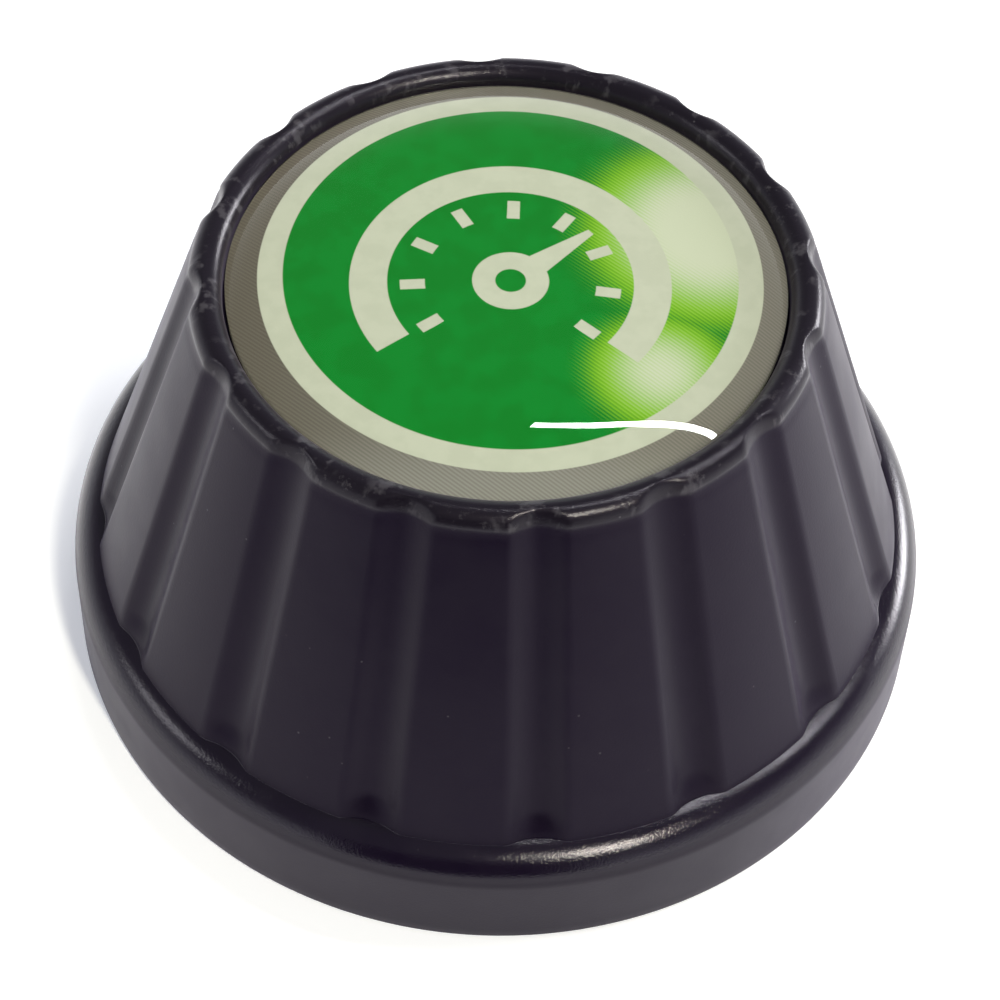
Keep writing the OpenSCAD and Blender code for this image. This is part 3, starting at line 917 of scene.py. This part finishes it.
def moulded(name, colour, rough, grain=0.12 * MM, depth=0.008 * MM):
    """A plain moulded or rubber finish with grain, clouding and slight wear."""
    s = Shader(name)
    cloud = s.noise(2.2 * MM, detail=4.0)
    lighter = tuple(c * 1.25 + 0.004 for c in colour)
    tone = s.mix(s.ramp(cloud, 0.35, 0.7), colour, lighter)
    s.set(Base_Color=tone, Roughness=s.ramp(cloud, 0.3, 0.7, rough - 0.05, rough + 0.06))
    return s.set(Normal=s.bump(s.noise(grain, detail=2.0), depth, 0.7), IOR=1.5)


def metal(name, colour, rough):
    """Plated or turned metal with brushing and faint tarnish."""
    s = Shader(name)
    lines = s.noise(0.6 * MM, detail=4.0, stretch=(1.0, 1.0, 12.0))
    cloud = s.noise(1.6 * MM, detail=4.0)
    tarnish = tuple(c * 0.75 for c in colour)
    tone = s.mix(s.ramp(cloud, 0.4, 0.75), colour, tarnish)
    s.set(Base_Color=tone, Metallic=1.0, Roughness=s.ramp(lines, 0.25, 0.75, rough - 0.08, rough + 0.12))
    return s.set(Normal=s.bump(lines, 0.004 * MM, 0.6))


def circuit_finish():
    """Green solder mask over copper tracks, with a faint weave."""
    s = Shader("circuit_board")
    weave = s.noise(0.3 * MM, detail=2.0)
    tracks = s.ramp(s.cells(1.3 * MM, "DISTANCE_TO_EDGE"), 0.05, 0.08)
    tone = s.mix(tracks, (0.020, 0.150, 0.055), (0.012, 0.085, 0.032))
    tone = s.mix(s.ramp(weave, 0.4, 0.6, 0.0, 0.3), tone, (0.03, 0.16, 0.07))
    s.set(Base_Color=tone, Roughness=s.ramp(weave, 0.3, 0.7, 0.28, 0.4))
    return s.set(Normal=s.bump(tracks, 0.03 * MM, 0.6))


# ---------------------------------------------------------------- the pieces


def dress(piece, material):
    """Gives piece this one material."""
    piece.data.materials.clear()
    piece.data.materials.append(material)
    return piece


make_housing()
make_dome()
make_base_cap()
make_valve_insert()
make_ring("valve_seal_ring", "valve_seal", "base_unit", SEAL_HOLE_R, 0.25 * MM)
make_ring("port_gasket_ring", "port_gasket", "base_unit", GASKET_HOLE_R, 0.15 * MM)
make_depressor()
make_o_ring()
make_disc("label_adhesive_disc", "label_adhesive", "housing_unit", 0.02 * MM)
make_disc("label_foil_disc", "label_foil", "housing_unit", 0.02 * MM)
make_disc("battery_pad_disc", "battery_pad", "housing_unit", 0.15 * MM)
make_circuit_board()
make_screws()
make_cell_can()
make_disc("battery_cap_disc", "battery_cap", "base_unit", 0.12 * MM, columns=144)

FINISHES = {
    "housing_plastic": housing_plastic,
    "clear_resin": clear_resin,
    "label_print": label_print,
    "adhesive": lambda: moulded("adhesive", (0.55, 0.53, 0.45), 0.5),
    "foam": lambda: moulded("foam", (0.03, 0.03, 0.034), 0.85, 0.35 * MM, 0.06 * MM),
    "cap_plastic": lambda: moulded("cap_plastic", (0.022, 0.021, 0.026), 0.42, 0.15 * MM, 0.015 * MM),
    "black_rubber": lambda: moulded("black_rubber", (0.016, 0.016, 0.017), 0.62, 0.2 * MM, 0.01 * MM),
    "red_silicone": lambda: moulded("red_silicone", (0.36, 0.05, 0.025), 0.5),
    "chip_epoxy": lambda: moulded("chip_epoxy", (0.02, 0.02, 0.022), 0.55),
    "ceramic": lambda: moulded("ceramic", (0.42, 0.29, 0.17), 0.5),
    "ferrite": lambda: moulded("ferrite", (0.06, 0.055, 0.05), 0.6),
    "grey_nylon": lambda: moulded("grey_nylon", (0.10, 0.10, 0.12), 0.5),
    "brass": lambda: metal("brass", (0.78, 0.56, 0.26), 0.24),
    "steel": lambda: metal("steel", (0.60, 0.60, 0.58), 0.26),
    "nickel": lambda: metal("nickel", (0.66, 0.63, 0.58), 0.22),
    "copper": lambda: metal("copper", (0.72, 0.34, 0.18), 0.28),
    "circuit_board": circuit_finish,
}
made = {name: make() for name, make in FINISHES.items()}
slots = {row["node"]: row["material_slot"] for row in frame["record"]["subparts"]}
for node, piece in frame["nodes"].items():
    if slots.get(node) in made:
        dress(piece, made[slots[node]])
for name, node in STANDING_FOR.items():
    dress(bpy.data.objects[name], made[slots[node]])

# ---------------------------------------------------------------- floor, light and camera

FLOOR_HALF = 3.0
CARD_X = (-48 * MM, 32 * MM)
CARD_Y = -84 * MM
CARD_Z = (0.5 * MM, 62 * MM)
LAMP_AWAY = 1.0
LAMP_AIM_Z = 10 * MM
HORIZON_GLOW, ZENITH_GLOW, BACKDROP_GLOW = 1.20, 0.26, 0.9
# heights between which the glow changes, as parts of the sky's radius
HORIZON_UP, ZENITH_UP = 0.05, 0.55


def floor_finish():
    """Matt white paper that glows a little, which keeps the shadows pale."""
    s = Shader("floor")
    tone = s.mix(s.ramp(s.noise(40 * MM), 0.3, 0.7), (0.86, 0.86, 0.86), (0.88, 0.88, 0.88))
    s.set(Emission_Color=(0.86, 0.89, 1.0), Emission_Strength=0.35)
    return s.set(Base_Color=tone, Roughness=s.ramp(s.noise(5 * MM), 0.3, 0.7, 0.7, 0.8))


def card_finish():
    """Matt black paper."""
    s = Shader("dark_card")
    tone = s.mix(s.ramp(s.noise(8 * MM), 0.3, 0.7), (0.012, 0.012, 0.016), (0.020, 0.020, 0.024))
    return s.set(Base_Color=tone, Roughness=s.ramp(s.noise(4 * MM), 0.3, 0.7, 0.8, 0.9))


def flat_sheet(name, corners):
    """A flat sheet of the studio, such as the floor."""
    mesh = bpy.data.meshes.new(name)
    mesh.from_pydata(corners, [], [(0, 1, 2, 3)])
    sheet = bpy.data.objects.new(name, mesh)
    bpy.context.scene.collection.objects.link(sheet)
    return sheet


def make_floor():
    """A plain pale floor at the height of the resting face."""
    far = FLOOR_HALF
    floor = flat_sheet("floor", [(-far, -far, 0), (far, -far, 0), (far, far, 0), (-far, far, 0)])
    dress(floor, floor_finish())


def make_dark_card():
    """A dark card stands in front, where the photographer stood. The camera doesn't see it."""
    (left, right), (low, top) = CARD_X, CARD_Z
    corners = [(left, CARD_Y, low), (right, CARD_Y, low), (right, CARD_Y, top), (left, CARD_Y, top)]
    card = flat_sheet("dark_card", corners)
    card.visible_camera = False
    dress(card, card_finish())


def direction(azimuth, elevation):
    """The unit vector at an azimuth and an elevation in degrees."""
    a, e = math.radians(azimuth), math.radians(elevation)
    return Vector((math.cos(a) * math.cos(e), math.sin(a) * math.cos(e), math.sin(e)))


def tube_lamp(name, start, end, thick, glow, colour=(1, 1, 1)):
    """A rectangular lamp that faces the object. Its ends are azimuth and elevation in degrees as
    seen from the object, thick is in degrees too, and glow is how bright its face is.
    """
    first, last = direction(*start), direction(*end)
    away = (first + last).normalized()
    data = bpy.data.lights.new(name, "AREA")
    data.shape = "RECTANGLE"
    data.size = 2 * LAMP_AWAY * math.tan(first.angle(last) / 2)
    data.size_y = 2 * LAMP_AWAY * math.tan(math.radians(thick / 2))
    data.energy = glow * math.pi * data.size * data.size_y
    data.color = colour
    light = bpy.data.objects.new(name, data)
    along = (last - first).normalized()
    axes = Matrix((along, away.cross(along), away)).transposed()
    place = Vector((0, 0, LAMP_AIM_Z)) + away * LAMP_AWAY
    light.matrix_world = Matrix.Translation(place) @ axes.to_4x4()
    bpy.context.scene.collection.objects.link(light)


def make_world():
    """A room that glows near the horizon and is dim overhead; the camera sees it as a pale backdrop."""
    world = bpy.data.worlds.new("studio")
    bpy.context.scene.world = world
    world.use_nodes = True
    tree = world.node_tree
    split = tree.nodes.new("ShaderNodeSeparateXYZ")
    tree.links.new(tree.nodes.new("ShaderNodeTexCoord").outputs["Generated"], split.inputs[0])
    glow = tree.nodes.new("ShaderNodeMapRange")
    glow.interpolation_type = "SMOOTHSTEP"
    for socket, value in zip(glow.inputs[1:5], (HORIZON_UP, ZENITH_UP, HORIZON_GLOW, ZENITH_GLOW)):
        socket.default_value = value
    tree.links.new(split.outputs[2], glow.inputs[0])
    seen = tree.nodes.new("ShaderNodeLightPath").outputs["Is Camera Ray"]
    shown = tree.nodes.new("ShaderNodeMix")
    shown.inputs["B"].default_value = BACKDROP_GLOW
    tree.links.new(seen, shown.inputs["Factor"])
    tree.links.new(glow.outputs[0], shown.inputs["A"])
    background = tree.nodes["Background"]
    background.inputs["Color"].default_value = (0.95, 0.97, 1.0, 1)
    tree.links.new(shown.outputs["Result"], background.inputs["Strength"])


def make_camera():
    """A camera at the photograph's viewing angle: elevation, roll and offset from the object."""
    elevation, roll, lens = math.radians(52.04), math.radians(2.395), 90.41
    flange_r = 19.0 * MM
    shift_right, shift_down, distance = -0.0122 * flange_r, 0.1754 * flange_r, 6.1757 * flange_r
    forward = Vector((0, math.cos(elevation), -math.sin(elevation)))
    right = Vector((1, 0, 0))
    down = forward.cross(right)
    turned_right = math.cos(roll) * right - math.sin(roll) * down
    turned_down = math.sin(roll) * right + math.cos(roll) * down
    place = -(shift_right * turned_right + shift_down * turned_down + distance * forward)
    data = bpy.data.cameras.new("camera")
    data.sensor_width = 36
    data.lens = lens
    data.clip_start = 0.005
    camera = bpy.data.objects.new("camera", data)
    axes = Matrix((turned_right, -turned_down, -forward)).transposed()
    camera.matrix_world = Matrix.Translation(place) @ axes.to_4x4()
    bpy.context.scene.collection.objects.link(camera)
    bpy.context.scene.camera = camera


make_floor()
make_dark_card()
make_world()
make_camera()
# each lamp's name, its two ends, how thick it is, its glow and its colour
tube_lamp("left_lamp", (176, 34), (196, 34), 14, 5.0)
tube_lamp("right_window", (22, 12), (41, 14), 14, 28.0)
tube_lamp("front_lamp", (-60.5, 50), (-54.5, 50), 15, 120.0, (1.0, 0.96, 0.80))
tube_lamp("ceiling_tube", (80, 71), (8, 49), 1.8, 60.0)
bpy.context.scene.view_settings.view_transform = "Standard"
